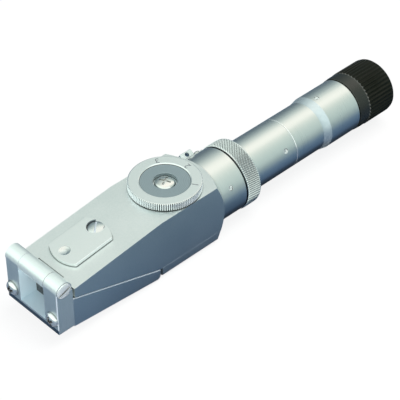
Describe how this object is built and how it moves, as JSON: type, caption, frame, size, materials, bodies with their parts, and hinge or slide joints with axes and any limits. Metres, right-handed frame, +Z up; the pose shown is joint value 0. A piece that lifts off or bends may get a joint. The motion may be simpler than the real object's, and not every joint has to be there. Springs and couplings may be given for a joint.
{
  "type": "handheld brix refractometer",
  "caption": "Hand-held refractometer with a hinged prism box, a range dial, a knurled compensator ring and a telescope tube with a ribbed focusing eyepiece.",
  "frame": {"origin": "middle plane of the instrument, on the flat foot under the head, straight below the axis of the range dial", "axes": "+X along the tube towards the eyepiece, +Z up, away from the foot; the strap lug is on the +Y side"},
  "size_m": [0.192, 0.031, 0.0322],
  "materials": {
    "head_metal": "satin",
    "box_metal": "satin",
    "tube_metal": "fine turned, satin",
    "knurled_metal": "knurled, bright chamfers",
    "dial_face": "brushed, darker",
    "screw_steel": "bright",
    "polished_steel": "polished",
    "dark_steel": "blued",
    "bearing_brass": "turned",
    "black_cell": "matt black inside",
    "black_ring": "satin black",
    "soft_black": "matt",
    "optical_glass": "polished"
  },
  "bodies": {
    "head": {"head_casting": "head_metal", "foot_cover": "head_metal", "foot_screws": "screw_steel", "refracting_prism": "optical_glass", "prism_packing": "soft_black", "spindle_bush": "bearing_brass", "detent_ball": "polished_steel", "detent_spring": "dark_steel", "neck_sleeve": "head_metal", "strap_lug": "head_metal", "strap_screw": "polished_steel", "front_tube": "tube_metal", "objective_cell": "black_cell", "objective_lens": "optical_glass", "tube_set_screws": "dark_steel", "reticle_cell": "black_cell", "scale_reticle": "optical_glass", "rear_tube": "tube_metal", "guide_screw": "dark_steel", "cover_pivot_screw": "screw_steel"},
    "lower_box": {"prism_box": "box_metal", "hinge_frame": "box_metal", "frame_screws": "screw_steel", "hinge_pin": "polished_steel", "illuminating_prism": "optical_glass", "prism_keeper": "dark_steel"},
    "range_dial": {"dial_ring": "knurled_metal", "dial_disc": "dial_face", "dial_screw": "polished_steel", "range_spindle": "bearing_brass", "range_drum": "black_cell", "range_wedges": "optical_glass"},
    "compensator": {"compensator_ring": "knurled_metal", "compensator_key": "dark_steel", "amici_cell": "black_cell", "amici_prism": "optical_glass"},
    "ocular": {"ocular_cell": "black_cell", "field_lens": "optical_glass", "field_lens_ring": "black_cell", "eye_lens": "optical_glass", "ocular_retainer": "black_cell"},
    "eyepiece_ring": {"dioptre_ring": "black_ring", "eye_rim": "soft_black"},
    "cover_plate": {"scale_cover": "screw_steel"},
    "scale_adjuster": {"adjusting_screw": "bearing_brass"}
  },
  "joints": [
    {"name": "prism_box_hinge", "type": "hinge", "parent": "head", "child": "lower_box", "pos_m": [-0.0638, 0, 0.0249], "axis": [0, 1, 0], "range_deg": [0, 100]},
    {"name": "range_turn", "type": "hinge", "parent": "head", "child": "range_dial", "pos_m": [0, 0, 0.02775], "axis": [0, 0, 1], "range_deg": [-60, 60]},
    {"name": "compensator_turn", "type": "hinge", "parent": "head", "child": "compensator", "pos_m": [0.03535, 0, 0.0135], "axis": [1, 0, 0], "range_deg": [-60, 60]},
    {"name": "ocular_slide", "type": "slide", "parent": "head", "child": "ocular", "axis": [1, 0, 0], "range_m": [-0.0005, 0.0015]},
    {"name": "dioptre_turn", "type": "hinge", "parent": "ocular", "child": "eyepiece_ring", "pos_m": [0.1159, 0, 0.0135], "axis": [1, 0, 0], "range_deg": [-45.1, 135.1]},
    {"name": "cover_pivot", "type": "hinge", "parent": "head", "child": "cover_plate", "pos_m": [-0.03375, 0.00205, 0.02552], "axis": [-0.1193, 0, 0.9929], "range_deg": [0, 90]},
    {"name": "adjuster_turn", "type": "hinge", "parent": "head", "child": "scale_adjuster", "pos_m": [-0.04725, 0.0008, 0.0239], "axis": [-0.1193, 0, 0.9929], "range_deg": [-90, 90]}
  ],
  "couplings": [
    {"joint": "dioptre_turn", "follows": "ocular_slide", "rad_per_m": 1570.8}
  ]
}
